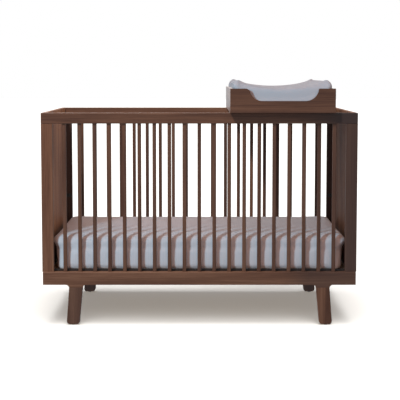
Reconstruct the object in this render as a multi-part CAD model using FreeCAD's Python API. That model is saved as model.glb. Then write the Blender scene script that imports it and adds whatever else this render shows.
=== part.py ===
import FreeCAD, Part
import math
import os

# Baby crib with slatted front and rear frames, solid end panels, splayed legs, a height-adjustable
# mattress support, a mattress, and a lift-off changing tray with its contour pad.
# Millimetres. +X runs along the crib, +Y from front to rear, +Z up.
# The origin is on the floor under the middle of the crib.

V = FreeCAD.Vector
UNIT = {"x": V(1, 0, 0), "y": V(0, 1, 0), "z": V(0, 0, 1)}

# Overall crib
crib_length = 1366.0
crib_depth = 743.0
rail_height = 924.0
edge_radius = 2.5
seat_gap = 0.3

# Front and rear frames
frame_thickness = 22.0
top_rail_height = 46.5
bottom_rail_height = 56.5
bottom_rail_thickness = 28.0
bottom_rail_inset = 2.5
post_width = 50.0
panel_thickness = 18.0

# Slats, with a stub tenon at each end in a mortise of the rail
slat_count = 19
slat_width = 16.0
slat_thickness = 14.0
slat_end_gap = 41.8
tenon_shoulder = 2.0
tenon_length = 12.0
tenon_clearance = 0.2

# Legs
leg_length = 164.5
leg_inset = 146.0
leg_top_width = 59.0
leg_foot_width = 56.0
leg_splay_degrees = 4.9
leg_corner_radius = 14.0
leg_edge_radius = 3.0
stub_drop = 12.0
cove_radius = 15.4
leg_bolt_radius = 4.0
leg_bolt_in_leg = 34.0
leg_bolt_in_rail = 30.0
glide_radius = 9.0
glide_thickness = 2.5
glide_pin_radius = 1.5
glide_pin_length = 12.0

# Dowels, brackets and screws that join the frames to each other and to the end panels
dowel_radius = 4.0
dowel_half_length = 18.0
dowel_clearance = 0.1
panel_dowel_in_post = 12.0
bracket_flange = 26.0
bracket_thickness = 2.0
bracket_height = 16.0
bracket_gap = 2.0
bracket_top_drop = 27.0
bracket_screw_place = 15.0
screw_radius = 2.0
screw_length = 13.0
screw_head_radius = 4.0
screw_head_height = 2.4

# Mattress support: a steel angle frame with wooden slats, hung on four bolts
support_above_rail = 4.7
support_side_gap = 3.0
angle_flange = 25.0
angle_thickness = 2.5
support_lip = 4.6
support_slat_count = 12
support_slat_width = 60.0
support_slat_thickness = 10.0
support_slat_end_gap = 10.0
support_screw_inset = 13.0
height_step = 120.0
height_count = 3
hook_bolt_place = 90.0
hook_bolt_below_flange = 12.0
hook_bolt_radius = 3.0
hook_bolt_depth = 15.0
hook_head_radius = 7.0
hook_head_thickness = 4.0
insert_radius = 5.0
insert_length = 14.0

# Mattress and its fitted sheet
mattress_end_gap = 17.0
mattress_side_gap = 8.5
mattress_thickness = 146.0
mattress_corner_radius = 36.0
mattress_edge_radius = 26.0
mattress_bottom_radius = 12.0
sheet_thickness = 0.8
sheet_hem = 70.0

# Changing tray
tray_length = 452.0
tray_end_inset = 98.5
tray_overhang = 22.0
tray_board_height = 104.0
tray_board_thickness = 15.0
tray_bottom_thickness = 9.0
tray_rebate = 5.0
scoop_depth = 53.0
scoop_radius = 56.0
scoop_left_ear = 82.0
scoop_right_ear = 72.0
scoop_left_shoulder = 20.0
scoop_right_shoulder = 4.0
cleat_width = 18.0
cleat_height = 30.0
cleat_side_gap = 2.0
cleat_end_gap = 20.0
cleat_screw_inset = 40.0
tray_dowel_radius = 3.0
tray_dowel_cover = 6.0
tray_dowel_rise = 21.0
tray_dowel_spacing = 47.0

# Contour changing pad
pad_clearance = 3.0
pad_middle_thickness = 101.0
pad_side_thickness = 132.0
pad_straight_side = 94.0
pad_bulge = 5.0
pad_ridge_inset = 20.0
pad_corner_radius = 12.0
pad_end_radius = 45.0

# Places worked out from the sizes above
half_length = crib_length / 2
half_depth = crib_depth / 2
inner_y = half_depth - frame_thickness
inner_x = half_length - panel_thickness
slat_y = half_depth - frame_thickness / 2
bottom_rail_low = leg_length + stub_drop
bottom_rail_high = bottom_rail_low + bottom_rail_height
top_rail_low = rail_height - top_rail_height
leg_x = half_length - leg_inset
post_x = half_length - post_width / 2
slat_span = 2 * (half_length - post_width) - 2 * slat_end_gap - slat_width
slat_pitch = slat_span / (slat_count - 1)
mattress_length = 2 * (inner_x - mattress_end_gap)
mattress_width = 2 * (inner_y - mattress_side_gap)

support_high = bottom_rail_high + support_above_rail
flange_high = support_high - support_slat_thickness
support_low = flange_high - angle_flange
support_x = inner_x - support_side_gap
support_y = inner_y - support_side_gap
hook_bolt_y = inner_y - hook_bolt_place
hook_bolt_z = flange_high - angle_thickness - hook_bolt_below_flange

tray_x = half_length - tray_end_inset - tray_length / 2
tray_half_depth = half_depth + tray_overhang
tray_low = rail_height + seat_gap
tray_inner_x = tray_length / 2 - tray_board_thickness
tray_inner_y = tray_half_depth - tray_board_thickness
tray_floor = tray_low + tray_bottom_thickness

bracket_heights = [
    support_low - bracket_gap - bracket_height / 2,
    support_high + (height_count - 1) * height_step + bracket_height / 2 + bracket_gap,
    top_rail_low - bracket_top_drop,
]


# Helpers

def block(low, high):
    """A box between two opposite corners."""
    size = [high[i] - low[i] for i in range(3)]
    return Part.makeBox(size[0], size[1], size[2], V(*low))


def rod(radius, start, direction, length):
    """A cylinder from a start point along a direction."""
    return Part.makeCylinder(radius, length, V(*start), V(*direction))


def end_room(extra):
    """How much deeper a hole is than what fits it, where extra is its radial clearance."""
    return 5 * extra


def edges_along(shape, axes):
    """The straight edges that run along any of the named axes."""
    found = []
    for edge in shape.Edges:
        if not isinstance(edge.Curve, Part.Line):
            continue
        direction = edge.tangentAt(edge.FirstParameter)
        if any(abs(abs(direction.dot(UNIT[axis])) - 1) < 1e-6 for axis in axes):
            found.append(edge)
    return found


def soft_block(low, high, axes="xyz", radius=edge_radius):
    """A box with rounded edges along the named axes; its thinnest side limits the radius."""
    shape = block(low, high)
    thinnest = min(high[i] - low[i] for i in range(3))
    return shape.makeFillet(min(radius, 0.3 * thinnest), edges_along(shape, axes))


def mirrored_x(shape):
    return shape.mirror(V(0, 0, 0), UNIT["x"])


def mirrored_y(shape):
    return shape.mirror(V(0, 0, 0), UNIT["y"])


def four_ways(shapes):
    """Shapes of the rear right corner, with their copies in the other three corners."""
    right = list(shapes) + [mirrored_y(shape) for shape in shapes]
    return right + [mirrored_x(shape) for shape in right]


def prism_along_y(edges, y, depth):
    """A solid from a closed outline of edges in the XZ plane at y, extended towards +Y."""
    face = Part.Face(Part.Wire(edges))
    face.translate(V(0, y, 0))
    return face.extrude(V(0, depth, 0))


def line(a, b):
    return Part.LineSegment(V(a[0], 0, a[1]), V(b[0], 0, b[1])).toShape()


def arc(a, middle, b):
    return Part.Arc(V(a[0], 0, a[1]), V(middle[0], 0, middle[1]), V(b[0], 0, b[1])).toShape()


# Rear frame; the front frame is its mirror image

def slat_places():
    return [-slat_span / 2 + i * slat_pitch for i in range(slat_count)]


def tenon(x, z, height, extra=0.0):
    """The tenon of a slat at x, or its mortise if extra is the clearance."""
    half_width = slat_width / 2 - tenon_shoulder + extra
    half_thickness = slat_thickness / 2 - tenon_shoulder + extra
    low = (x - half_width, slat_y - half_thickness, z)
    return block(low, (x + half_width, slat_y + half_thickness, z + height))


def rear_slat(x):
    low = (x - slat_width / 2, slat_y - slat_thickness / 2, bottom_rail_high)
    high = (x + slat_width / 2, slat_y + slat_thickness / 2, top_rail_low)
    body = soft_block(low, high, "z")
    lower = tenon(x, bottom_rail_high - tenon_length, tenon_length)
    upper = tenon(x, top_rail_low, tenon_length)
    return body.fuse([lower, upper])


def mortises(z, height):
    return [tenon(x, z, height, tenon_clearance) for x in slat_places()]


def frame_dowel_places():
    """Where dowels stand in the two ends of each post, as x and the z of the joint."""
    places = []
    for side in (-1, 1):
        for offset in (-post_width / 4, post_width / 4):
            for z in (bottom_rail_high, top_rail_low):
                places.append((side * post_x + offset, z))
    return places


def frame_dowel(x, z, extra=0.0):
    half = dowel_half_length + end_room(extra)
    return rod(dowel_radius + extra, (x, slat_y, z - half), (0, 0, 1), 2 * half)


def frame_dowel_holes():
    return [frame_dowel(x, z, dowel_clearance) for x, z in frame_dowel_places()]


def panel_dowel_heights():
    low, middle, high = bracket_heights
    return [(low + middle) / 2, (middle + high) / 2]


def panel_dowel(z, extra=0.0):
    """A dowel across the joint of the rear right post and the right end panel."""
    x = half_length - panel_thickness / 2
    reach = dowel_half_length + end_room(extra)
    start = (x, inner_y - reach, z)
    return rod(dowel_radius + extra, start, (0, 1, 0), reach + panel_dowel_in_post + end_room(extra))


def panel_dowel_holes():
    return four_ways([panel_dowel(z, dowel_clearance) for z in panel_dowel_heights()])


def rear_top_rail():
    low = (-half_length, inner_y, top_rail_low)
    rail = soft_block(low, (half_length, half_depth, rail_height))
    holes = mortises(top_rail_low, tenon_length + 1)
    return rail.cut(holes + frame_dowel_holes() + bracket_screw_holes())


def cove_stub(x):
    """The boss under the bottom rail that carries a leg, with a cove on each side."""
    half = leg_top_width / 2
    run = math.sqrt(cove_radius ** 2 - (cove_radius - stub_drop) ** 2)
    half_angle = math.asin(run / cove_radius) / 2
    bend = cove_radius * math.sin(half_angle)
    sag = cove_radius * (1 - math.cos(half_angle))
    high = bottom_rail_low
    low = high - stub_drop
    left, right = x - half - run, x + half + run
    edges = [
        line((left, high), (right, high)),
        arc((right, high), (right - bend, high - sag), (x + half, low)),
        line((x + half, low), (x - half, low)),
        arc((x - half, low), (left + bend, high - sag), (left, high)),
    ]
    return prism_along_y(edges, inner_y, bottom_rail_thickness)


def leg_bolt(x, extra=0.0):
    length = leg_bolt_in_leg + leg_bolt_in_rail
    y = inner_y + bottom_rail_thickness / 2
    start = (x, y, leg_length - leg_bolt_in_leg - end_room(extra))
    return rod(leg_bolt_radius + extra, start, (0, 0, 1), length + 2 * end_room(extra))


def rear_bottom_rail():
    half = half_length - bottom_rail_inset
    low = (-half, inner_y, bottom_rail_low)
    high = (half, inner_y + bottom_rail_thickness, bottom_rail_high)
    bar = block(low, high)
    top_edges = [edge for edge in edges_along(bar, "xy") if edge.CenterOfMass.z > bottom_rail_high - 1]
    upright_edges = edges_along(bar, "z")
    bar = bar.makeFillet(edge_radius, top_edges + upright_edges)
    rail = bar.fuse([cove_stub(-leg_x), cove_stub(leg_x)]).removeSplitter()
    holes = mortises(bottom_rail_high - tenon_length - 1, tenon_length + 1)
    holes += [leg_bolt(-leg_x, dowel_clearance), leg_bolt(leg_x, dowel_clearance)]
    return rail.cut(holes + frame_dowel_holes() + bracket_screw_holes())


def rear_right_post():
    low = (half_length - post_width, inner_y, bottom_rail_high)
    post = soft_block(low, (half_length, half_depth, top_rail_low), "z")
    return post.cut(frame_dowel_holes() + panel_dowel_holes() + bracket_screw_holes())


def right_end_panel():
    low = (inner_x, -inner_y, bottom_rail_low)
    panel = soft_block(low, (half_length, inner_y, rail_height), "y")
    inserts = [insert_bore(y, z) for y, z in insert_places()]
    return panel.cut(panel_dowel_holes() + bracket_screw_holes() + inserts)


# Brackets in the inner corners

def corner_bracket(z):
    """A steel angle in the rear right inner corner, with a hole in each flange."""
    low = z - bracket_height / 2
    high = z + bracket_height / 2
    on_post = block((inner_x - bracket_flange, inner_y - bracket_thickness, low), (inner_x, inner_y, high))
    on_panel = block((inner_x - bracket_thickness, inner_y - bracket_flange, low), (inner_x, inner_y, high))
    return on_post.fuse(on_panel).removeSplitter().cut(bracket_screws(z, dowel_clearance))


def bracket_screws(z, extra=0.0):
    """The two screws of one corner bracket, or their holes if extra is the clearance."""
    into_post = (inner_x - bracket_screw_place, inner_y - bracket_thickness, z)
    into_panel = (inner_x - bracket_thickness, inner_y - bracket_screw_place, z)
    return [wood_screw(into_post, (0, 1, 0), extra), wood_screw(into_panel, (1, 0, 0), extra)]


def wood_screw(seat, direction, extra=0.0):
    """A pan-head screw whose head sits on seat, pointing along direction."""
    axis = V(*direction)
    shank = Part.makeCylinder(screw_radius + extra, screw_length + end_room(extra), V(*seat), axis)
    if extra:
        return shank
    head = Part.makeCylinder(screw_head_radius, screw_head_height, V(*seat) - axis * screw_head_height, axis)
    return shank.fuse(head)


def bracket_screw_holes():
    corner = [hole for z in bracket_heights for hole in bracket_screws(z, dowel_clearance)]
    return four_ways(corner)


# Legs

def rear_right_leg():
    """A splayed board with its two bottom corners rounded."""
    top = leg_length
    foot = glide_thickness
    shift = (top - foot) * math.tan(math.radians(leg_splay_degrees))
    foot_x = leg_x + shift
    corners = [
        (leg_x - leg_top_width / 2, top),
        (leg_x + leg_top_width / 2, top),
        (foot_x + leg_foot_width / 2, foot),
        (foot_x - leg_foot_width / 2, foot),
    ]
    edges = [line(corners[i], corners[(i + 1) % 4]) for i in range(4)]
    leg = prism_along_y(edges, inner_y, bottom_rail_thickness)
    foot_edges = [edge for edge in edges_along(leg, "y") if edge.CenterOfMass.z < foot + 1]
    leg = leg.makeFillet(leg_corner_radius, foot_edges)
    rim = [edge for edge in leg.Edges if abs(edge.tangentAt(edge.FirstParameter).y) < 0.1]
    rim = [edge for edge in rim if edge.BoundBox.ZMin < top - 1]
    leg = leg.makeFillet(leg_edge_radius, rim)
    holes = [leg_bolt(leg_x, dowel_clearance), glide_pin(foot_x, dowel_clearance)]
    return leg.cut(holes)


def glide_pin(x, extra=0.0):
    y = inner_y + bottom_rail_thickness / 2
    length = glide_pin_length + end_room(extra)
    return rod(glide_pin_radius + extra, (x, y, glide_thickness), (0, 0, 1), length)


def leg_glide():
    """A nail-on glide under the foot of the rear right leg."""
    shift = (leg_length - glide_thickness) * math.tan(math.radians(leg_splay_degrees))
    x = leg_x + shift
    y = inner_y + bottom_rail_thickness / 2
    disc = rod(glide_radius, (x, y, 0), (0, 0, 1), glide_thickness)
    lower_rim = [edge for edge in disc.Edges if edge.BoundBox.ZMax < 0.1]
    disc = disc.makeFillet(0.3 * glide_thickness, lower_rim)
    return disc.fuse(glide_pin(x))


# Mattress support and its fixings

def insert_places():
    """The y and z of each threaded insert in an end panel."""
    steps = [hook_bolt_z + i * height_step for i in range(height_count)]
    return [(side * hook_bolt_y, z) for side in (-1, 1) for z in steps]


def insert_bore(y, z):
    """The blind bore for an insert in the right end panel."""
    return rod(insert_radius + dowel_clearance, (inner_x, y, z), (1, 0, 0), hook_bolt_depth + 1)


def height_insert(y, z):
    """A threaded insert, flush with the inner face of the right end panel."""
    sleeve = rod(insert_radius, (inner_x, y, z), (1, 0, 0), insert_length)
    bore = rod(hook_bolt_radius + dowel_clearance, (inner_x - 1, y, z), (1, 0, 0), insert_length + 2)
    return sleeve.cut(bore)


def hook_bolt(y):
    """A bolt in the lowest insert; the support hangs between its head and the panel."""
    head_x = support_x - angle_thickness - seat_gap
    shank_length = inner_x - head_x + hook_bolt_depth - 2
    shank = rod(hook_bolt_radius, (head_x, y, hook_bolt_z), (1, 0, 0), shank_length)
    head_start = (head_x - hook_head_thickness, y, hook_bolt_z)
    head = rod(hook_head_radius, head_start, (1, 0, 0), hook_head_thickness)
    return shank.fuse(head)


def angle_along_y():
    """The right angle of the support, with an open slot over each hook bolt."""
    upright_x = support_x - angle_thickness
    upright = block((upright_x, -support_y, support_low), (support_x, support_y, flange_high))
    flange_low = flange_high - angle_thickness
    flange = block((support_x - angle_flange, -support_y, flange_low), (support_x, support_y, flange_high))
    angle = upright.fuse(flange).removeSplitter()
    slots = []
    half = hook_bolt_radius + seat_gap
    for y in (-hook_bolt_y, hook_bolt_y):
        low = (support_x - 2 * angle_thickness, y - half, support_low - 1)
        high = (support_x + 1, y + half, hook_bolt_z)
        round_top = rod(half, (low[0], y, hook_bolt_z), (1, 0, 0), high[0] - low[0])
        slots += [block(low, high), round_top]
    return angle.cut(slots)


def angle_along_x():
    """The rear rail of the support, between the end angles, with a lip that keeps the mattress in place."""
    half = support_x - angle_flange
    lip_high = support_high + support_lip
    upright = block((-half, support_y - angle_thickness, support_low), (half, support_y, lip_high))
    flange_low = flange_high - angle_thickness
    flange = block((-half, support_y - angle_flange, flange_low), (half, support_y, flange_high))
    angle = upright.fuse(flange).removeSplitter()
    return angle.cut([slat_screw(x, dowel_clearance) for x in support_slat_places()])


def support_slat_places():
    end = support_x - support_slat_end_gap - support_slat_width / 2
    pitch = 2 * end / (support_slat_count - 1)
    return [-end + i * pitch for i in range(support_slat_count)]


def slat_screw(x, extra=0.0):
    """The rear screw of a support slat, with its head sunk in the wood."""
    y = support_y - support_screw_inset
    head_top = support_high - seat_gap
    head_height = screw_head_height + 2 * extra
    head_start = (x, y, head_top - head_height)
    head = rod(screw_head_radius + extra, head_start, (0, 0, 1), head_height + end_room(extra))
    shank_low = flange_high - angle_thickness - 2
    shank = rod(screw_radius + extra, (x, y, shank_low), (0, 0, 1), head_top - shank_low)
    return head.fuse(shank)


def support_slat(x):
    half = support_slat_width / 2
    end = support_y - angle_thickness - seat_gap
    slat = soft_block((x - half, -end, flange_high), (x + half, end, support_high), "y")
    screw_hole = slat_screw(x, dowel_clearance)
    return slat.cut([screw_hole, mirrored_y(screw_hole)])


# Mattress

def cushion(inset):
    """The mattress outline as a rounded slab, drawn in from its outer surface by inset."""
    low = (inset - mattress_length / 2, inset - mattress_width / 2, support_high + seat_gap + inset)
    high = (-low[0], -low[1], support_high + seat_gap + mattress_thickness - inset)
    slab = block(low, high)
    slab = slab.makeFillet(mattress_corner_radius - inset, edges_along(slab, "z"))
    flat_edges = [edge for edge in slab.Edges if edge.BoundBox.ZLength < 1]
    top_edges = [edge for edge in flat_edges if edge.CenterOfMass.z > high[2] - 1]
    slab = slab.makeFillet(mattress_edge_radius - inset, top_edges)
    flat_edges = [edge for edge in slab.Edges if edge.BoundBox.ZLength < 1]
    bottom_edges = [edge for edge in flat_edges if edge.CenterOfMass.z < low[2] + 1]
    return slab.makeFillet(mattress_bottom_radius - inset, bottom_edges)


def fitted_sheet():
    """A sheet over the top and sides of the mattress, tucked under it as a hem all round."""
    shell = cushion(0).cut(cushion(sheet_thickness))
    x = mattress_length / 2 - sheet_hem
    y = mattress_width / 2 - sheet_hem
    low = (-x, -y, support_high - 1)
    return shell.cut(block(low, (x, y, support_high + mattress_thickness / 2)))


# Changing tray

def scooped_board():
    """The rear board of the tray, with a scoop in its top edge."""
    left = tray_x - tray_length / 2
    right = tray_x + tray_length / 2
    high = tray_low + tray_board_height
    scoop = high - scoop_depth
    run = math.sqrt(scoop_radius ** 2 - (scoop_radius - scoop_depth) ** 2)
    half_angle = math.asin(run / scoop_radius) / 2
    bend = scoop_radius * math.sin(half_angle)
    rise = scoop_radius * (1 - math.cos(half_angle))
    scoop_left = left + scoop_left_ear
    scoop_right = right - scoop_right_ear
    flat_left = scoop_left + run
    flat_right = scoop_right - run
    edges = [
        line((left, tray_low), (right, tray_low)),
        line((right, tray_low), (right, high)),
        line((right, high), (scoop_right, high)),
        arc((scoop_right, high), (flat_right + bend, scoop + rise), (flat_right, scoop)),
        line((flat_right, scoop), (flat_left, scoop)),
        arc((flat_left, scoop), (flat_left - bend, scoop + rise), (scoop_left, high)),
        line((scoop_left, high), (left, high)),
        line((left, high), (left, tray_low)),
    ]
    board = prism_along_y(edges, tray_inner_y, tray_board_thickness)
    for x, radius in ((scoop_left, scoop_left_shoulder), (scoop_right, scoop_right_shoulder)):
        shoulder = [e for e in edges_along(board, "y") if abs(e.CenterOfMass.x - x) < 0.1]
        shoulder = [e for e in shoulder if e.CenterOfMass.z > high - 1]
        board = board.makeFillet(radius, shoulder)
    outer_corners = [e for e in edges_along(board, "z") if e.CenterOfMass.y > tray_half_depth - 1]
    board = board.makeFillet(1.0, outer_corners)
    return board.cut([rebate_space()] + tray_dowel_holes())


def rebate_space():
    """The tray's bottom panel and its clearance, taken out of the boards around it."""
    reach_x = tray_inner_x + tray_rebate + dowel_clearance
    reach_y = tray_inner_y + tray_rebate + dowel_clearance
    low = (tray_x - reach_x, -reach_y, tray_low - 1)
    return block(low, (tray_x + reach_x, reach_y, tray_floor + dowel_clearance))


def tray_side_board():
    """The right board of the tray, between the front and rear boards."""
    low = (tray_x + tray_inner_x, -tray_inner_y, tray_low)
    high = (tray_x + tray_length / 2, tray_inner_y, tray_low + tray_board_height)
    board = block(low, high)
    top_edges = [edge for edge in edges_along(board, "y") if edge.CenterOfMass.z > high[2] - 1]
    board = board.makeFillet(1.0, top_edges)
    return board.cut([rebate_space()] + tray_dowel_holes())


def tray_dowel(z, extra=0.0):
    """A dowel from the rear board into the end of the right side board."""
    x = tray_x + tray_length / 2 - tray_board_thickness / 2
    reach = dowel_half_length + end_room(extra)
    blind = tray_board_thickness - tray_dowel_cover + end_room(extra)
    return rod(tray_dowel_radius + extra, (x, tray_inner_y - reach, z), (0, 1, 0), reach + blind)


def tray_dowels(extra=0.0):
    heights = [tray_floor + tray_dowel_rise + i * tray_dowel_spacing for i in range(2)]
    rear = [tray_dowel(z, extra) for z in heights]
    rear += [across_tray(dowel) for dowel in rear]
    return rear + [mirrored_y(dowel) for dowel in rear]


def tray_dowel_holes():
    return tray_dowels(dowel_clearance)


def across_tray(shape):
    """The mirror image about the tray's own middle."""
    return shape.mirror(V(tray_x, 0, 0), UNIT["x"])


def tray_bottom():
    reach_x = tray_inner_x + tray_rebate
    reach_y = tray_inner_y + tray_rebate
    panel = block((tray_x - reach_x, -reach_y, tray_low), (tray_x + reach_x, reach_y, tray_floor))
    holes = cleat_screws(dowel_clearance)
    return panel.cut(holes + [mirrored_y(hole) for hole in holes])


def cleat_span():
    outer = inner_y - cleat_side_gap
    return outer - cleat_width, outer


def tray_cleat():
    """The rear cleat under the tray, which locates it inside the rear top rail."""
    half = tray_inner_x - cleat_end_gap
    near, far = cleat_span()
    low = (tray_x - half, near, tray_low - cleat_height)
    return soft_block(low, (tray_x + half, far, tray_low), "x").cut(cleat_screws(dowel_clearance))


def cleat_screws(extra=0.0):
    """Three screws up through the rear cleat into the bottom panel, their heads recessed."""
    near, far = cleat_span()
    y = (near + far) / 2
    tip = tray_floor - 2
    head_low = tip - screw_length - cleat_height / 2
    screws = []
    for step in (-1, 0, 1):
        x = tray_x + step * (tray_inner_x - cleat_end_gap - cleat_screw_inset)
        shank = rod(screw_radius + extra, (x, y, head_low), (0, 0, 1), tip - head_low + end_room(extra))
        bottom = tray_low - cleat_height - 1 if extra else head_low
        top = head_low + screw_head_height + extra
        head = rod(screw_head_radius + extra, (x, y, bottom), (0, 0, 1), top - bottom)
        screws.append(shank.fuse(head))
    return screws


# Changing pad

def changing_pad():
    """A long pad with a raised ridge on each side, rounded over at its two ends."""
    half = tray_inner_x - pad_clearance
    low = tray_floor + seat_gap
    ridge_x = half - pad_ridge_inset
    side = low + pad_straight_side
    ridge = low + pad_side_thickness
    swell_z = (side + ridge) / 2
    edges = [
        line((-half, low), (half, low)),
        line((half, low), (half, side)),
        arc((half, side), (half + pad_bulge, swell_z), (ridge_x, ridge)),
        arc((ridge_x, ridge), (0, low + pad_middle_thickness), (-ridge_x, ridge)),
        arc((-ridge_x, ridge), (-half - pad_bulge, swell_z), (-half, side)),
        line((-half, side), (-half, low)),
    ]
    reach = tray_inner_y - pad_clearance
    pad = prism_along_y(edges, -reach, 2 * reach)
    foot_edges = [edge for edge in edges_along(pad, "y") if edge.CenterOfMass.z < low + 1]
    pad = pad.makeFillet(pad_corner_radius, foot_edges)
    envelope = block((-2 * half, -reach, low), (2 * half, reach, ridge + 1))
    upper_ends = [edge for edge in edges_along(envelope, "x") if edge.CenterOfMass.z > low + 1]
    pad = pad.common(envelope.makeFillet(pad_end_radius, upper_ends))
    pad.translate(V(tray_x, 0, 0))
    return pad


# Nodes

def frame_nodes():
    nodes = {}
    rear = {"top_rail": rear_top_rail(), "bottom_rail": rear_bottom_rail()}
    for name, shape in rear.items():
        nodes["rear_" + name] = shape
        nodes["front_" + name] = mirrored_y(shape)
    for name, shape in (("post", rear_right_post()), ("leg", rear_right_leg())):
        nodes["rear_right_" + name] = shape
        nodes["rear_left_" + name] = mirrored_x(shape)
        nodes["front_right_" + name] = mirrored_y(shape)
        nodes["front_left_" + name] = mirrored_x(mirrored_y(shape))
    slats = [rear_slat(x) for x in slat_places()]
    for number, slat in enumerate(slats, 1):
        nodes[f"front_slat_{number:02d}"] = mirrored_y(slat)
    nodes["rear_slats"] = Part.makeCompound(slats)
    nodes["right_end_panel"] = right_end_panel()
    nodes["left_end_panel"] = mirrored_x(nodes["right_end_panel"])
    return nodes


def hardware_nodes():
    rear_dowels = [frame_dowel(x, z) for x, z in frame_dowel_places()]
    inserts = [height_insert(y, z) for y, z in insert_places()]
    screws = [screw for z in bracket_heights for screw in bracket_screws(z)]
    groups = {
        "leg_bolts": four_ways([leg_bolt(leg_x)]),
        "leg_glides": four_ways([leg_glide()]),
        "frame_dowels": rear_dowels + [mirrored_y(dowel) for dowel in rear_dowels],
        "panel_dowels": four_ways([panel_dowel(z) for z in panel_dowel_heights()]),
        "corner_brackets": four_ways([corner_bracket(z) for z in bracket_heights]),
        "corner_bracket_screws": four_ways(screws),
        "height_inserts": inserts + [mirrored_x(insert) for insert in inserts],
        "hook_bolts": four_ways([hook_bolt(hook_bolt_y)]),
    }
    return {name: Part.makeCompound(shapes) for name, shapes in groups.items()}


def support_nodes():
    side, end = angle_along_x(), angle_along_y()
    slats = [support_slat(x) for x in support_slat_places()]
    screws = [slat_screw(x) for x in support_slat_places()]
    return {
        "support_rear_rail": side,
        "support_front_rail": mirrored_y(side),
        "support_right_rail": end,
        "support_left_rail": mirrored_x(end),
        "support_slats": Part.makeCompound(slats),
        "support_slat_screws": Part.makeCompound(screws + [mirrored_y(screw) for screw in screws]),
    }


def mattress_nodes():
    return {"mattress": cushion(sheet_thickness + seat_gap), "fitted_sheet": fitted_sheet()}


def tray_nodes():
    rear, right, cleat, screws = scooped_board(), tray_side_board(), tray_cleat(), cleat_screws()
    return {
        "tray_rear_board": rear,
        "tray_front_board": mirrored_y(rear),
        "tray_right_board": right,
        "tray_left_board": across_tray(right),
        "tray_bottom": tray_bottom(),
        "tray_rear_cleat": cleat,
        "tray_front_cleat": mirrored_y(cleat),
        "tray_dowels": Part.makeCompound(tray_dowels()),
        "tray_cleat_screws": Part.makeCompound(screws + [mirrored_y(screw) for screw in screws]),
        "changing_pad": changing_pad(),
    }


def main():
    os.makedirs("parts", exist_ok=True)
    for group in (frame_nodes, hardware_nodes, support_nodes, mattress_nodes, tray_nodes):
        for name, shape in group().items():
            shape.exportStep(f"parts/{name}.step")


main()
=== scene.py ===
import math

import bmesh
import bpy
import numpy as np
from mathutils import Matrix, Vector


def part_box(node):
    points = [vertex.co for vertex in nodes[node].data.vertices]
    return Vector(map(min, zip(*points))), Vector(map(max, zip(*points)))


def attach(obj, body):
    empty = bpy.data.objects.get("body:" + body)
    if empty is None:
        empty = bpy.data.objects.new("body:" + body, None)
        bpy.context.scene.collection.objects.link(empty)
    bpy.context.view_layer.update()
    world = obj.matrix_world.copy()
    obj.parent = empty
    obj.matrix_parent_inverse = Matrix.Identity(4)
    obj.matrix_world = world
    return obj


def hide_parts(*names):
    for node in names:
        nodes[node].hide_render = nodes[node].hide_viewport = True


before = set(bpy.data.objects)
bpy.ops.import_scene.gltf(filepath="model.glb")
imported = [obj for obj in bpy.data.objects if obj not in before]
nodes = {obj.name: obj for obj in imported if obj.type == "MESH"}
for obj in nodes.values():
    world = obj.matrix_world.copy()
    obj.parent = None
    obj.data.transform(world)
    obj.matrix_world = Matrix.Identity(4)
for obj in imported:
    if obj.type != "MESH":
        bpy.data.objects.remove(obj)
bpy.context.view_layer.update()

MM = 0.001

# Places, from the frame
front_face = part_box("front_top_rail")[0].y
mattress_low, mattress_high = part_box("mattress")
mattress_thickness = mattress_high.z - mattress_low.z
pad_low, pad_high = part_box("changing_pad")
slat_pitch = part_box("front_slat_02")[0].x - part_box("front_slat_01")[0].x


# ---------------------------------------------------------------- camera

CAMERA_ASIDE = 0.0029
CAMERA_DISTANCE = 4.762
CAMERA_HEIGHT = 1.098
CAMERA_PITCH = math.radians(4.53)
SENSOR_WIDTH = 36
LENS = 99.65
SHIFT_DOWN = -0.1


def make_camera():
    """The camera in front of the crib, a little above its rails and looking slightly down."""
    data = bpy.data.cameras.new("camera")
    data.sensor_width = SENSOR_WIDTH
    data.lens = LENS
    data.shift_y = SHIFT_DOWN
    camera = bpy.data.objects.new("camera", data)
    camera.location = (CAMERA_ASIDE, front_face - CAMERA_DISTANCE, CAMERA_HEIGHT)
    camera.rotation_euler = (math.pi / 2 - CAMERA_PITCH, 0, 0)
    bpy.context.scene.collection.objects.link(camera)
    bpy.context.scene.camera = camera


# ---------------------------------------------------------------- light and floor

SURROUND_COLOUR = (0.86, 0.98, 1.2)
SURROUND_STRENGTH = 0.24
REFLECTED_SHARE = 0.5
SUN_PLACE = (0, 0, 3)
FLOOR_SIZE = 80
FLOOR_COLOUR = (0.9, 0.88, 0.84)


def make_world():
    """A dim surround that lights the crib, seen as white by the camera and half white in reflections."""
    world = bpy.data.worlds.new("studio")
    world.use_nodes = True
    tree = world.node_tree
    surround = tree.nodes["Background"]
    surround.inputs["Color"].default_value = (*SURROUND_COLOUR, 1)
    surround.inputs["Strength"].default_value = SURROUND_STRENGTH
    backdrop = tree.nodes.new("ShaderNodeBackground")
    backdrop.inputs["Color"].default_value = (1, 1, 1, 1)
    rays = tree.nodes.new("ShaderNodeLightPath")
    white_share = tree.nodes.new("ShaderNodeMath")
    white_share.operation = "MULTIPLY_ADD"
    white_share.inputs[1].default_value = REFLECTED_SHARE
    either = tree.nodes.new("ShaderNodeMixShader")
    tree.links.new(rays.outputs["Is Glossy Ray"], white_share.inputs[0])
    tree.links.new(rays.outputs["Is Camera Ray"], white_share.inputs[2])
    tree.links.new(white_share.outputs[0], either.inputs[0])
    tree.links.new(surround.outputs[0], either.inputs[1])
    tree.links.new(backdrop.outputs[0], either.inputs[2])
    tree.links.new(either.outputs[0], tree.nodes["World Output"].inputs["Surface"])
    bpy.context.scene.world = world
    bpy.context.scene.view_settings.view_transform = "Standard"


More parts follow.
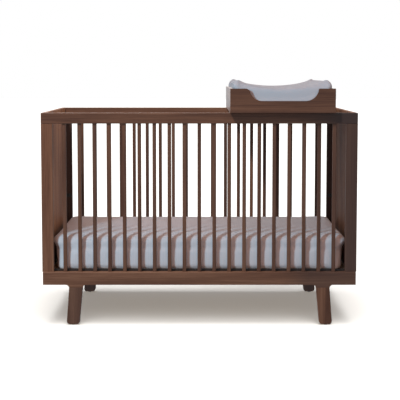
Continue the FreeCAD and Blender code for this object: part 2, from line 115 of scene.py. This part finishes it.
def sun(name, travel, strength, colour, spread, pieces, shadow=True, blockers=()):
    """Parallel light along travel, on the given pieces only; with blockers, nothing else shades them."""
    data = bpy.data.lights.new(name, "SUN")
    data.energy = strength
    data.angle = math.radians(spread)
    data.use_shadow = shadow
    hang_light(name, data, SUN_PLACE, travel, colour, pieces, blockers)


def lamp(name, place, target, strength, colour, size, pieces):
    """A small square lamp whose light has the given strength at its target."""
    travel = Vector(target) - Vector(place)
    data = bpy.data.lights.new(name, "AREA")
    data.size = size
    data.energy = strength * math.pi * travel.length_squared
    hang_light(name, data, place, travel, colour, pieces, ())


def hang_light(name, data, place, travel, colour, pieces, blockers):
    """Puts a light in the scene and links it to what it lights and what may shade that."""
    data.color = colour
    light = bpy.data.objects.new(name, data)
    light.location = place
    light.rotation_euler = Vector(travel).to_track_quat("-Z", "Y").to_euler()
    bpy.context.scene.collection.objects.link(light)
    lit = bpy.data.collections.new(name + "_lit")
    for piece in pieces:
        lit.objects.link(piece)
    light.light_linking.receiver_collection = lit
    if blockers:
        blocking = bpy.data.collections.new(name + "_blocking")
        for piece in blockers:
            blocking.objects.link(piece)
        light.light_linking.blocker_collection = blocking


def make_floor():
    """A plain pale floor that throws no light back on the crib."""
    bpy.ops.mesh.primitive_plane_add(size=FLOOR_SIZE, location=(0, 0, 0))
    floor = bpy.context.object
    floor.name = "floor"
    material = bpy.data.materials.new("floor_white")
    material.use_nodes = True
    shader = material.node_tree.nodes["Principled BSDF"]
    shader.inputs["Base Color"].default_value = (*FLOOR_COLOUR, 1)
    shader.inputs["Roughness"].default_value = 1.0
    shader.inputs["Specular IOR Level"].default_value = 0.0
    floor.data.materials.append(material)
    floor.visible_diffuse = False
    floor.visible_glossy = False
    return floor


def make_lights(floor, sheet, core, pad):
    """Soft studio light, set apart for the wood, the fabric and the floor."""
    hard = [nodes[name] for name in nodes]
    soft = [sheet, core, pad]
    panels = [nodes["left_end_panel"], nodes["right_end_panel"]]
    crib = [nodes[name] for name in nodes if not name.startswith(("tray", "changing"))]
    above_left = (-1.5, front_face - 1.5, 4.2)
    # wood and metal
    lamp("key", above_left, (0, front_face, 0.7), 2.9, (1.0, 0.94, 0.90), 0.3, hard)
    sun("panel_fill", (-0.8, 1.0, -0.3), 3.3, (1.0, 0.90, 0.80), 40, panels)
    sun("bounce", (0.2, 1.0, 1.2), 0.62, (1.0, 0.98, 0.98), 60, hard)
    sun("back_fill", (0.4, -1.0, -0.7), 1.3, (1.0, 0.96, 0.92), 50, hard)
    # fabric
    lamp("soft_key", (-2.1, -3.6, 2.2), (0, -0.34, 0.3), 2.2, (0.50, 0.80, 1.0), 0.5, soft)
    sun("soft_fill", (0.1, 0.1, -1.0), 0.9, (1.0, 0.48, 0.30), 60, soft, blockers=crib)
    sun("soft_glow", (0.0, 1.0, -0.2), 0.62, (1.0, 0.38, 0.12), 60, soft)
    sun("soft_back", (0.2, -1.0, -0.6), 0.7, (1.0, 0.95, 0.92), 50, soft)
    # floor
    sun("floor_key", (0, 0.1, -1.0), 2.2, (1, 1, 1), 36, [floor])
    sun("floor_rake", (0, 1.0, -1.0), 1.85, (1, 1, 1), 50, [floor])
    sun("floor_fill", (0, 0, -1.0), 0.72, (1.0, 0.88, 0.74), 1, [floor], shadow=False)


# ---------------------------------------------------------------- material helpers

class Nodes:
    """Short names for building a material's node tree."""

    def __init__(self, name):
        self.material = bpy.data.materials.new(name)
        self.material.use_nodes = True
        self.tree = self.material.node_tree
        self.shader = self.tree.nodes["Principled BSDF"]

    def add(self, kind, **settings):
        node = self.tree.nodes.new(kind)
        for key, value in settings.items():
            setattr(node, key, value)
        return node

    def link(self, source, target):
        self.tree.links.new(source, target)

    def place(self, scale=(1, 1, 1)):
        """Object coordinates in metres, stretched by scale."""
        coordinates = self.add("ShaderNodeTexCoord")
        mapping = self.add("ShaderNodeMapping")
        mapping.inputs["Scale"].default_value = scale
        self.link(coordinates.outputs["Object"], mapping.inputs["Vector"])
        return mapping.outputs["Vector"]

    def noise(self, vector, scale, detail=4.0, roughness=0.5, distortion=0.0):
        node = self.add("ShaderNodeTexNoise")
        self.link(vector, node.inputs["Vector"])
        node.inputs["Scale"].default_value = scale
        node.inputs["Detail"].default_value = detail
        node.inputs["Roughness"].default_value = roughness
        node.inputs["Distortion"].default_value = distortion
        return node.outputs["Fac"]

    def math(self, operation, a, b=0.0, clamp=False):
        node = self.add("ShaderNodeMath", operation=operation, use_clamp=clamp)
        for socket, value in zip(node.inputs, (a, b)):
            if isinstance(value, (int, float)):
                socket.default_value = value
            else:
                self.link(value, socket)
        return node.outputs[0]

    def ramp(self, factor, stops):
        node = self.add("ShaderNodeValToRGB")
        elements = node.color_ramp.elements
        while len(elements) < len(stops):
            elements.new(0.5)
        for element, (position, colour) in zip(elements, stops):
            element.position = position
            element.color = (*colour, 1)
        self.link(factor, node.inputs["Fac"])
        return node.outputs["Color"]

    def mix(self, factor, a, b):
        node = self.add("ShaderNodeMix", data_type="RGBA")
        for socket, value in zip((node.inputs[0], node.inputs[6], node.inputs[7]), (factor, a, b)):
            if isinstance(value, (int, float)):
                socket.default_value = value
            elif isinstance(value, tuple):
                socket.default_value = (*value, 1)
            else:
                self.link(value, socket)
        return node.outputs[2]

    def bump(self, height, strength, distance):
        node = self.add("ShaderNodeBump")
        node.inputs["Strength"].default_value = strength
        node.inputs["Distance"].default_value = distance
        self.link(height, node.inputs["Height"])
        self.link(node.outputs["Normal"], self.shader.inputs["Normal"])

    def set(self, **values):
        for name, value in values.items():
            self.shader.inputs[name.replace("_", " ")].default_value = value


def along(axis, long_scale, cross_scale):
    """A coordinate scale that stretches a pattern along one axis."""
    return tuple(long_scale if name == axis else cross_scale for name in "xyz")


# ---------------------------------------------------------------- wood

WALNUT_DARK = (0.085, 0.036, 0.022)
WALNUT_MID = (0.17, 0.078, 0.045)
WALNUT_LIGHT = (0.26, 0.130, 0.076)
WALNUT_PORE = (0.045, 0.021, 0.014)
# The colour that low tones mix towards: the boards' own darker tone, and painted shade on pieces given
# low tones.
WALNUT_DARK_TONE_AND_SHADE = (0.048, 0.030, 0.027)


def walnut(name, axis, tone=1.0, gloss=0.3, coat=0.0, slats=False, end_shade_and_grain=None):
    """Satin walnut with its grain along one axis: broad bands, fine streaks and open pores.

    tone is from 0, a dark colour used both for the boards' own darker tone and for painted shade, to 1,
    the grain's own, or lighter above 1, which is painted light.
    """
    n = Nodes(name)
    bands = n.noise(n.place(along(axis, 1.1, 16)), 1.0, 5, 0.55, 0.9)
    streaks = n.noise(n.place(along(axis, 5, 190)), 1.0, 4, 0.6, 0.3)
    pores = n.noise(n.place(along(axis, 28, 1100)), 1.0, 2, 0.5)
    grain = n.math("ADD", n.math("MULTIPLY", bands, 0.68), n.math("MULTIPLY", streaks, 0.32))
    wood = n.ramp(grain, [(0.34, WALNUT_DARK), (0.5, WALNUT_MID), (0.66, WALNUT_LIGHT)])
    pore_mask = n.math("MULTIPLY", n.math("SUBTRACT", pores, 0.58, True), 5.0, True)
    colour = n.mix(n.math("MULTIPLY", pore_mask, 0.55), wood, WALNUT_PORE)
    if slats:
        tone = slat_tone(n)
    if end_shade_and_grain:
        # Painted shade towards the board's right end, partly the bottom rail's own darker heartwood.
        tone = n.math("MULTIPLY", end_shade_and_grain_tone(n, *end_shade_and_grain), tone)
    toned = n.mix(tone, WALNUT_DARK_TONE_AND_SHADE, colour)
    toned.node.clamp_factor = False
    n.link(toned, n.shader.inputs["Base Color"])
    rough = n.math("ADD", n.math("MULTIPLY", streaks, 0.16), 0.42)
    n.link(rough, n.shader.inputs["Roughness"])
    height = n.math("SUBTRACT", n.math("MULTIPLY", streaks, 0.4), pore_mask)
    n.bump(height, 0.35, 0.0004)
    n.set(Specular_IOR_Level=gloss, Coat_Weight=coat, Coat_Roughness=0.3)
    return n.material


def end_shade_and_grain_tone(n, start, end, depth):
    """The board darkens from start to end along X, with a wandering edge: painted shade over the crib's
    right end, partly the board's own darker heartwood on the bottom rail.
    """
    split = n.add("ShaderNodeSeparateXYZ")
    n.link(n.place(), split.inputs["Vector"])
    wander = n.math("MULTIPLY", n.noise(n.place((3, 3, 40)), 1.0, 3), 0.12)
    x = n.math("ADD", split.outputs[0], n.math("SUBTRACT", wander, 0.06))
    reach = n.math("DIVIDE", n.math("SUBTRACT", x, start), end - start, True)
    return n.math("SUBTRACT", 1.0, n.math("MULTIPLY", reach, depth))


def slat_tone(n):
    """Each slat is its own stick of wood: a tone picked by the slat's number, with the rear slats darker
    as painted shade behind the front frame.
    """
    split = n.add("ShaderNodeSeparateXYZ")
    n.link(n.place(), split.inputs["Vector"])
    number = n.math("ROUND", n.math("DIVIDE", split.outputs[0], slat_pitch))
    rear = n.math("GREATER_THAN", split.outputs[1], 0.0)
    place = n.add("ShaderNodeCombineXYZ")
    n.link(number, place.inputs[0])
    n.link(rear, place.inputs[1])
    pick = n.add("ShaderNodeTexWhiteNoise", noise_dimensions="3D")
    n.link(place.outputs[0], pick.inputs["Vector"])
    # Painted shade: the rear slats get a wider and darker range of tones.
    spread = n.math("ADD", n.math("MULTIPLY", rear, 0.3), 0.35)
    return n.math("SUBTRACT", 1.0, n.math("MULTIPLY", pick.outputs["Value"], spread))


def plain_wood(name, dark, light, axis):
    """A pale sealed wood with faint long grain."""
    n = Nodes(name)
    bands = n.noise(n.place(along(axis, 2, 28)), 1.0, 5, 0.6, 0.6)
    streaks = n.noise(n.place(along(axis, 9, 320)), 1.0, 3, 0.6)
    grain = n.math("ADD", n.math("MULTIPLY", bands, 0.6), n.math("MULTIPLY", streaks, 0.4))
    n.link(n.ramp(grain, [(0.35, dark), (0.65, light)]), n.shader.inputs["Base Color"])
    n.bump(streaks, 0.25, 0.0003)
    n.set(Roughness=0.55)
    return n.material


# ---------------------------------------------------------------- metal and plastic

SCRATCH_SCALE = 60


def metal(name, colour, roughness):
    """Plated metal, dulled in patches and finely scratched across Z."""
    n = Nodes(name)
    grime = n.noise(n.place(), 90, 4, 0.6)
    tone = n.ramp(grime, [(0.3, tuple(0.72 * c for c in colour)), (0.7, colour)])
    n.link(tone, n.shader.inputs["Base Color"])
    wear = n.noise(n.place((SCRATCH_SCALE, SCRATCH_SCALE, SCRATCH_SCALE * 4)), 8, 3, 0.6)
    rough = n.math("ADD", n.math("MULTIPLY", wear, 0.2), roughness - 0.1)
    n.link(rough, n.shader.inputs["Roughness"])
    n.bump(wear, 0.1, 0.0001)
    n.set(Metallic=1.0)
    return n.material


def powder_coat():
    """Dark brown powder coat with its fine pebble."""
    n = Nodes("powder_coat")
    pebble = n.noise(n.place(), 900, 2, 0.5)
    tone = n.ramp(pebble, [(0.3, (0.026, 0.019, 0.017)), (0.7, (0.045, 0.034, 0.030))])
    n.link(tone, n.shader.inputs["Base Color"])
    n.bump(pebble, 0.25, 0.0003)
    n.set(Roughness=0.5)
    return n.material


def glide_plastic():
    """Nearly black moulded plastic, slightly mottled."""
    n = Nodes("glide_plastic")
    mottle = n.noise(n.place(), 400, 3, 0.6)
    tone = n.ramp(mottle, [(0.3, (0.012, 0.010, 0.009)), (0.7, (0.02, 0.017, 0.015))])
    n.link(tone, n.shader.inputs["Base Color"])
    n.bump(mottle, 0.15, 0.0002)
    n.set(Roughness=0.6)
    return n.material


# ---------------------------------------------------------------- fabric

THREAD = 0.9 * MM


def weave_height(n):
    """Threads along all three axes; on any face the two that lie in it make a plain weave."""
    split = n.add("ShaderNodeSeparateXYZ")
    n.link(n.place(), split.inputs["Vector"])
    total = None
    for socket in split.outputs:
        wave = n.math("SINE", n.math("MULTIPLY", socket, 2 * math.pi / THREAD))
        total = wave if total is None else n.math("ADD", total, wave)
    return total


def cotton(name, base, shade, stripe, stripe_pitch, stripe_strength):
    """Woven cotton with a fine stripe across X, slight slubs and a soft sheen."""
    n = Nodes(name)
    weave = weave_height(n)
    slub = n.noise(n.place((260, 260, 260)), 1.0, 3, 0.6)
    drift = n.noise(n.place(), 5.0, 3, 0.5)
    colour = n.mix(n.math("MULTIPLY", drift, 0.5), base, shade)
    colour = n.mix(n.math("MULTIPLY", slub, 0.12), colour, shade)
    split = n.add("ShaderNodeSeparateXYZ")
    n.link(n.place(), split.inputs["Vector"])
    phase = n.math("SINE", n.math("MULTIPLY", split.outputs[0], 2 * math.pi / stripe_pitch))
    line = n.math("MULTIPLY", n.math("SUBTRACT", phase, 0.55, True), 2.2, True)
    colour = n.mix(n.math("MULTIPLY", line, stripe_strength), colour, stripe)
    n.link(colour, n.shader.inputs["Base Color"])
    n.bump(n.math("ADD", weave, n.math("MULTIPLY", slub, 2.0)), 0.35, 0.0003)
    n.set(Roughness=0.85, Sheen_Weight=0.12, Sheen_Roughness=0.45)
    return n.material


# ---------------------------------------------------------------- soft shapes

def new_object(name, mesh):
    piece = bpy.data.objects.new(name, mesh)
    bpy.context.scene.collection.objects.link(piece)
    return piece


def points_of(mesh):
    points = np.empty(len(mesh.vertices) * 3)
    mesh.vertices.foreach_get("co", points)
    return points.reshape(-1, 3)


def set_points(mesh, points):
    mesh.vertices.foreach_set("co", points.ravel())
    mesh.update()


def applied(piece):
    """The piece's mesh with its modifiers in it."""
    graph = bpy.context.evaluated_depsgraph_get()
    mesh = bpy.data.meshes.new_from_object(piece.evaluated_get(graph))
    piece.modifiers.clear()
    old = piece.data
    piece.data = mesh
    bpy.data.meshes.remove(old)
    return mesh


def even_copy(name, node, voxel):
    """A copy of a CAD node's mesh with an even grid of faces."""
    piece = new_object(name, nodes[node].data.copy())
    piece.data.materials.clear()
    weld = piece.modifiers.new("weld", "WELD")
    weld.merge_threshold = 0.01 * MM
    remesh = piece.modifiers.new("remesh", "REMESH")
    remesh.mode = "VOXEL"
    remesh.voxel_size = voxel
    remesh.use_smooth_shade = True
    applied(piece)
    return piece


def smoothed(piece, factor, times):
    """Rounds the piece's edges off."""
    smooth = piece.modifiers.new("smooth", "SMOOTH")
    smooth.factor = factor
    smooth.iterations = times
    applied(piece)


CLOTH_FRAMES = 20


def puffed(piece, pressure, cap, pinned):
    """Blows the piece up as cloth, with some points held, and limits how far any point moves."""
    start = points_of(piece.data)
    group = piece.vertex_groups.new(name="held")
    group.add([int(i) for i in np.flatnonzero(pinned)], 1.0, "REPLACE")
    cloth = piece.modifiers.new("cloth", "CLOTH")
    settings = cloth.settings
    settings.quality = 5
    settings.mass = 0.3
    settings.tension_stiffness = 15
    settings.compression_stiffness = 15
    settings.shear_stiffness = 5
    settings.bending_stiffness = 0.5
    settings.use_pressure = True
    settings.uniform_pressure_force = pressure
    settings.vertex_group_mass = "held"
    settings.effector_weights.gravity = 0
    cloth.collision_settings.use_collision = False
    cloth.point_cache.frame_start = 1
    cloth.point_cache.frame_end = CLOTH_FRAMES
    scene = bpy.context.scene
    for number in range(1, CLOTH_FRAMES + 1):
        scene.frame_set(number)
    applied(piece)
    scene.frame_set(1)
    moved = points_of(piece.data) - start
    length = np.linalg.norm(moved, axis=1, keepdims=True)
    scale = np.minimum(1.0, cap / np.maximum(length, 1e-9))
    set_points(piece.data, start + moved * scale)
    piece.vertex_groups.clear()


def finish_soft(piece, material, levels):
    """Shades the piece smoothly, subdivides it and gives it its fabric."""
    for polygon in piece.data.polygons:
        polygon.use_smooth = True
    if levels:
        subdivision = piece.modifiers.new("subdivision", "SUBSURF")
        subdivision.levels = levels
        subdivision.render_levels = levels
        applied(piece)
    piece.data.materials.append(material)


def smoothstep(low, high, value):
    """0 below low, 1 above high, and a smooth rise between them."""
    t = np.clip((value - low) / (high - low), 0, 1)
    return t * t * (3 - 2 * t)


# ---------------------------------------------------------------- mattress and sheet

MATTRESS_VOXEL = 9 * MM
MATTRESS_PRESSURE = 1.5
MATTRESS_SWELL = 5 * MM
MATTRESS_HELD = 12 * MM
END_TUCK = 24 * MM
END_REACH = (0.7, 1.0)
SIDE_TUCK = 4 * MM
SIDE_REACH = (0.6, 1.0)
RIM = (0.62, 0.86)
CROWN = 5 * MM
CROWN_REACH = (0.6, 1.0)
SHEET_OFFSET = 1 * MM
FOLD_HEIGHT = 3.5 * MM
FOLD_REACH = (20 * MM, 130 * MM)
FOLD_TOP = (0.7, 0.9)
HEM = 70 * MM
UNDERSIDE = 30 * MM


def mattress_shape(points):
    """The slab as it looks in use: sides drawn in under the top rim, and a slight crown."""
    low, high = np.array(mattress_low), np.array(mattress_high)
    middle, half = (low + high) / 2, (high - low) / 2
    place = (points - middle) / half
    up = (points[:, 2] - low[2]) / mattress_thickness
    drawn = 1 - smoothstep(*RIM, up)
    near_end = smoothstep(*END_REACH, np.abs(place[:, 0]))
    near_side = smoothstep(*SIDE_REACH, np.abs(place[:, 1]))
    shaped = points.copy()
    shaped[:, 0] -= np.sign(place[:, 0]) * END_TUCK * drawn * near_end
    shaped[:, 1] -= np.sign(place[:, 1]) * SIDE_TUCK * drawn * near_side
    dome = np.clip(1 - place[:, 0] ** 4, 0, 1) * np.clip(1 - place[:, 1] ** 2, 0, 1)
    shaped[:, 2] += CROWN * dome * smoothstep(*CROWN_REACH, up)
    return shaped


def make_mattress():
    """The mattress, held at its bottom while it is puffed."""
    core = even_copy("mattress_core", "mattress", MATTRESS_VOXEL)
    set_points(core.data, mattress_shape(points_of(core.data)))
    held = points_of(core.data)[:, 2] < mattress_low.z + MATTRESS_HELD
    puffed(core, MATTRESS_PRESSURE, MATTRESS_SWELL, held)
    return core


def corner_folds(points):
    """How far the sheet stands off the mattress where spare cloth gathers at the four corners."""
    from_end = mattress_high.x - np.abs(points[:, 0])
    from_side = mattress_high.y - np.abs(points[:, 1])
    near = (1 - smoothstep(*FOLD_REACH, from_end)) * (1 - smoothstep(*FOLD_REACH, from_side))
    up = (points[:, 2] - mattress_low.z) / mattress_thickness
    below_rim = 1 - smoothstep(*FOLD_TOP, up)
    across = np.abs(points[:, 0]) - np.abs(points[:, 1])
    wave = np.sin(across * 190 + up * 5) + 0.6 * np.sin(across * 97 - up * 9 + np.sign(points[:, 0]))
    return FOLD_HEIGHT * near * below_rim * (0.5 + 0.3 * wave)


def make_sheet(core):
    """The fitted sheet: the mattress's surface moved outwards, and open underneath inside its hem."""
    sheet = new_object("fitted_sheet_cloth", core.data.copy())
    mesh = sheet.data
    points = points_of(mesh)
    normals = np.empty(len(mesh.vertices) * 3)
    mesh.vertices.foreach_get("normal", normals)
    offset = SHEET_OFFSET + corner_folds(points)
    set_points(mesh, points + offset[:, None] * normals.reshape(-1, 3))
    inside_x = np.abs(points[:, 0]) < mattress_high.x - HEM
    inside_y = np.abs(points[:, 1]) < mattress_high.y - HEM
    under = inside_x & inside_y & (points[:, 2] < mattress_low.z + UNDERSIDE)
    shape = bmesh.new()
    shape.from_mesh(mesh)
    shape.verts.ensure_lookup_table()
    spare = [shape.verts[int(i)] for i in np.flatnonzero(under)]
    bmesh.ops.delete(shape, geom=spare, context="VERTS")
    shape.to_mesh(mesh)
    shape.free()
    return sheet


# ---------------------------------------------------------------- changing pad

PAD_VOXEL = 7 * MM
PAD_ROUNDING = 7
PAD_PRESSURE = 2.5
PAD_SWELL = 4 * MM
PAD_HELD = 14 * MM
HOLLOW_DEPTH = 12 * MM
HOLLOW_FLATNESS = 10
HOLLOW_RISE = (40 * MM, 90 * MM)
RIDGE_INSET = 20 * MM


def pad_hollow(points):
    """The top pressed down between the two ridges, most of all just inside them."""
    middle = (pad_low.x + pad_high.x) / 2
    half = (pad_high.x - pad_low.x) / 2 - RIDGE_INSET
    across = np.minimum(np.abs(points[:, 0] - middle) / half, 1)
    up = smoothstep(*HOLLOW_RISE, points[:, 2] - pad_low.z)
    hollow = points.copy()
    inside = 1 - across ** HOLLOW_FLATNESS
    hollow[:, 2] -= HOLLOW_DEPTH * inside * (0.5 + 0.5 * across ** 2) * up
    return hollow


def make_pad():
    """The contour pad in its cover, held at its bottom while it is puffed."""
    pad = even_copy("pad_cover", "changing_pad", PAD_VOXEL)
    smoothed(pad, 0.5, PAD_ROUNDING)
    held = points_of(pad.data)[:, 2] < pad_low.z + PAD_HELD
    puffed(pad, PAD_PRESSURE, PAD_SWELL, held)
    set_points(pad.data, pad_hollow(points_of(pad.data)))
    return pad


# ---------------------------------------------------------------- everything

def paint(material, *names):
    for name in names:
        mesh = nodes[name].data
        mesh.materials.clear()
        mesh.materials.append(material)


def named(start, *ends):
    """The nodes whose names have this start and one of these ends, if any are given."""
    return [name for name in nodes if name.startswith(start) and name.endswith(ends or "")]


def paint_wood():
    """Walnut boards, each with a tone that is partly its own and partly painted light and shade, and the
    paler wood of the hidden pieces.
    """
    # Tones above 1 here are painted light and tones below 1 painted shade, on top of each board's own
    # tone: the left post, bottom rail, right leg and end panels are lighter; the right post, left leg,
    # rear posts and legs are darker.
    paint(walnut("walnut_top_rail_painted_shade", "x", end_shade_and_grain=(0.40, 0.62, 0.95)), "front_top_rail")
    paint(walnut("walnut_bottom_rail_painted_light_and_shade", "x", 1.2, end_shade_and_grain=(0.36, 0.48, 0.5)), "front_bottom_rail")
    paint(walnut("walnut_tray_front", "x"), "tray_front_board")
    paint(walnut("walnut_rear_rail", "x", 0.95), "rear_top_rail", "rear_bottom_rail", "tray_rear_board")
    paint(walnut("walnut_tray_side", "y", 1.0, 0.6, 1.0), "tray_left_board", "tray_right_board")
    paint(walnut("walnut_left_post_painted_light", "z", 1.38), "front_left_post")
    paint(walnut("walnut_right_leg_painted_light", "z", 1.35), "front_right_leg")
    paint(walnut("walnut_left_leg_painted_shade", "z", 0.7), "front_left_leg")
    paint(walnut("walnut_right_post_painted_shade", "z", 0.3), "front_right_post")
    paint(walnut("walnut_rear_post_painted_shade", "z", 0.3), *named("rear_", "_post", "_leg"))
    paint(walnut("walnut_panel_painted_light", "z", 1.25, 0.05), "left_end_panel", "right_end_panel")
    paint(walnut("walnut_slats", "z", slats=True), *named("front_slat"), "rear_slats")
    birch_dark, birch_light = (0.26, 0.17, 0.10), (0.42, 0.30, 0.19)
    beech_dark, beech_light = (0.42, 0.28, 0.16), (0.62, 0.46, 0.3)
    paint(plain_wood("birch_y", birch_dark, birch_light, "y"), "support_slats", "tray_bottom")
    paint(plain_wood("birch_x", birch_dark, birch_light, "x"), "tray_front_cleat", "tray_rear_cleat")
    paint(plain_wood("beech_dowel", beech_dark, beech_light, "z"),
          "frame_dowels", "panel_dowels", "tray_dowels")


def paint_fittings():
    """Screws, brackets, inserts, the steel support and the feet's glides."""
    zinc, dark_zinc, brass = (0.36, 0.35, 0.34), (0.10, 0.095, 0.09), (0.62, 0.45, 0.2)
    paint(metal("zinc", zinc, 0.45), "leg_bolts", "support_slat_screws", "tray_cleat_screws")
    paint(metal("dark_zinc", dark_zinc, 0.5),
          "corner_brackets", "corner_bracket_screws", "hook_bolts")
    paint(metal("brass", brass, 0.38), "height_inserts")
    paint(powder_coat(), *named("support", "_rail"))
    paint(glide_plastic(), "leg_glides")


def make_soft_pieces():
    """The mattress, its sheet and the pad, each in its fabric and riding on its body."""
    sheet_cotton = cotton("sheet_cotton", base=(0.62, 0.61, 0.61), shade=(0.56, 0.55, 0.55),
                          stripe=(0.69, 0.68, 0.67), stripe_pitch=11 * MM, stripe_strength=0.35)
    pad_cotton = cotton("pad_cotton", base=(0.52, 0.52, 0.53), shade=(0.46, 0.47, 0.48),
                        stripe=(0.56, 0.56, 0.57), stripe_pitch=5 * MM, stripe_strength=0.1)
    ticking = cotton("mattress_ticking", base=(0.8, 0.8, 0.77), shade=(0.72, 0.72, 0.7),
                     stripe=(0.68, 0.7, 0.74), stripe_pitch=30 * MM, stripe_strength=0.4)
    core = make_mattress()
    sheet = make_sheet(core)
    finish_soft(core, ticking, 0)
    finish_soft(sheet, sheet_cotton, 1)
    pad = make_pad()
    finish_soft(pad, pad_cotton, 1)
    for piece, body, slot, node in (
        (core, "mattress_unit", "mattress_ticking", "mattress"),
        (sheet, "mattress_unit", "sheet_cotton", "fitted_sheet"),
        (pad, "pad", "pad_cotton", "changing_pad"),
    ):
        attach(piece, body)
        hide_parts(node)
    return core, sheet, pad


make_camera()
make_world()
paint_wood()
paint_fittings()
core, sheet, pad = make_soft_pieces()
make_lights(make_floor(), sheet, core, pad)
